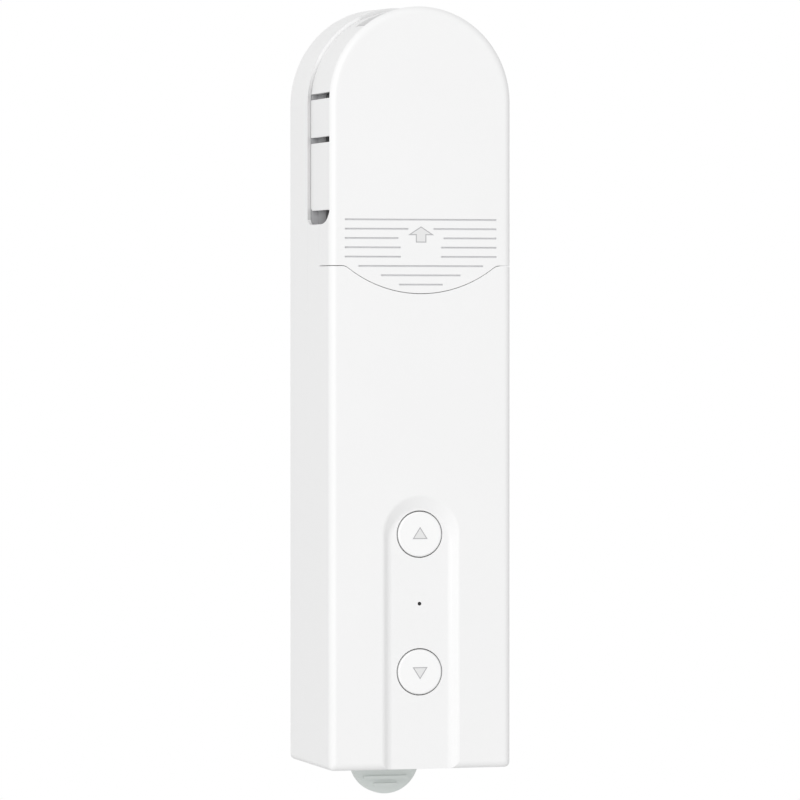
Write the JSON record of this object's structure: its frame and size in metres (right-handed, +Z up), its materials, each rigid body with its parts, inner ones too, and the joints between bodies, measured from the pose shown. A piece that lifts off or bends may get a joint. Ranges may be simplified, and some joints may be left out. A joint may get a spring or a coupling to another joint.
{
  "type": "roller shade motor",
  "caption": "Slim upright bead-chain roller shade motor with a rounded top, a cover that slides up off the chain wheel, two buttons and a wall plate.",
  "frame": {"origin": "middle of the wall plate's rear face, halfway between its two screw holes", "axes": "+X to the right seen from the front, +Y out of the back into the wall, +Z up"},
  "size_m": [0.0434, 0.0363, 0.1847],
  "materials": {
    "white_shell": "fine satin moulded plastic, white",
    "white_button": "smooth satin white plastic",
    "grey_bracket": "fine matt moulded plastic, light grey-green",
    "clear_pipe": "smoked clear plastic",
    "board": "solder-masked laminate, green",
    "black_plastic": "moulded black plastic",
    "steel": "plated steel",
    "can_metal": "bright rolled metal",
    "cell_sleeve": "shrink sleeve, blue",
    "gear_plastic": "natural acetal, off-white",
    "frame_plastic": "glass-filled nylon, dark grey",
    "grey_frame": "fine matt moulded plastic, mid grey",
    "wheel_plastic": "acetal, pale grey",
    "brass": "sintered bronze and brass"
  },
  "bodies": {
    "housing": {"main_shell": "white_shell", "rear_cover": "white_shell", "wall_bracket": "grey_bracket", "up_switch": "black_plastic", "down_switch": "black_plastic", "light_pipe": "clear_pipe", "status_led": "clear_pipe", "control_board": "board", "usb_port": "steel", "radio_module": "steel", "board_chips": "black_plastic", "board_screws": "steel", "battery_left": "cell_sleeve", "battery_right": "cell_sleeve", "battery_tray": "frame_plastic", "battery_contacts": "steel", "motor_can": "can_metal", "motor_terminals": "brass", "motor_screws": "steel", "wheel_frame": "grey_frame", "gear_plate": "frame_plastic", "gear_cover": "frame_plastic", "first_gear_pin": "steel", "second_gear_pin": "steel", "front_bush": "brass", "rear_bush": "brass", "gear_plate_screws": "steel", "gear_cover_screws": "steel", "rear_cover_screws": "steel"},
    "cover": {"slide_cover": "white_shell"},
    "up_button": {"up_button": "white_button", "up_plunger": "black_plastic"},
    "down_button": {"down_button": "white_button", "down_plunger": "black_plastic"},
    "wheel": {"bead_wheel": "wheel_plastic", "output_shaft": "steel", "output_gear": "gear_plastic", "wheel_washer": "steel", "wheel_screw": "steel"},
    "second_gear": {"second_gear": "gear_plastic"},
    "first_gear": {"first_gear": "gear_plastic"},
    "motor_rotor": {"motor_shaft": "steel", "motor_pinion": "brass"},
    "tab": {"release_tab": "grey_bracket"}
  },
  "joints": [
    {"name": "cover_slide", "type": "slide", "parent": "housing", "child": "cover", "axis": [0, 0, 1], "range_m": [0, 0.04]},
    {"name": "up_press", "type": "slide", "parent": "housing", "child": "up_button", "axis": [0, 1, 0], "range_m": [0, 0.0005], "stiffness_N_per_m": 1000},
    {"name": "down_press", "type": "slide", "parent": "housing", "child": "down_button", "axis": [0, 1, 0], "range_m": [0, 0.0005], "stiffness_N_per_m": 1000},
    {"name": "wheel_spin", "type": "hinge", "parent": "housing", "child": "wheel", "pos_m": [0, -0.0287, 0.0545], "axis": [0, 1, 0], "continuous": true},
    {"name": "second_gear_spin", "type": "hinge", "parent": "housing", "child": "second_gear", "pos_m": [-0.0015, -0.0125, 0.03255], "axis": [0, 1, 0], "continuous": true},
    {"name": "first_gear_spin", "type": "hinge", "parent": "housing", "child": "first_gear", "pos_m": [0.0055, -0.0165, 0.01467], "axis": [0, 1, 0], "continuous": true},
    {"name": "motor_spin", "type": "hinge", "parent": "housing", "child": "motor_rotor", "pos_m": [0, -0.02, -0.00056], "axis": [0, 1, 0], "continuous": true},
    {"name": "tab_flex", "type": "hinge", "parent": "housing", "child": "tab", "pos_m": [0, -0.0046, -0.063], "axis": [1, 0, 0], "range_deg": [0, 5], "stiffness_Nm_per_rad": 0.6}
  ],
  "couplings": [
    {"joint": "second_gear_spin", "follows": "wheel_spin", "ratio": -2.6667},
    {"joint": "first_gear_spin", "follows": "wheel_spin", "ratio": 8},
    {"joint": "motor_spin", "follows": "wheel_spin", "ratio": -28}
  ]
}
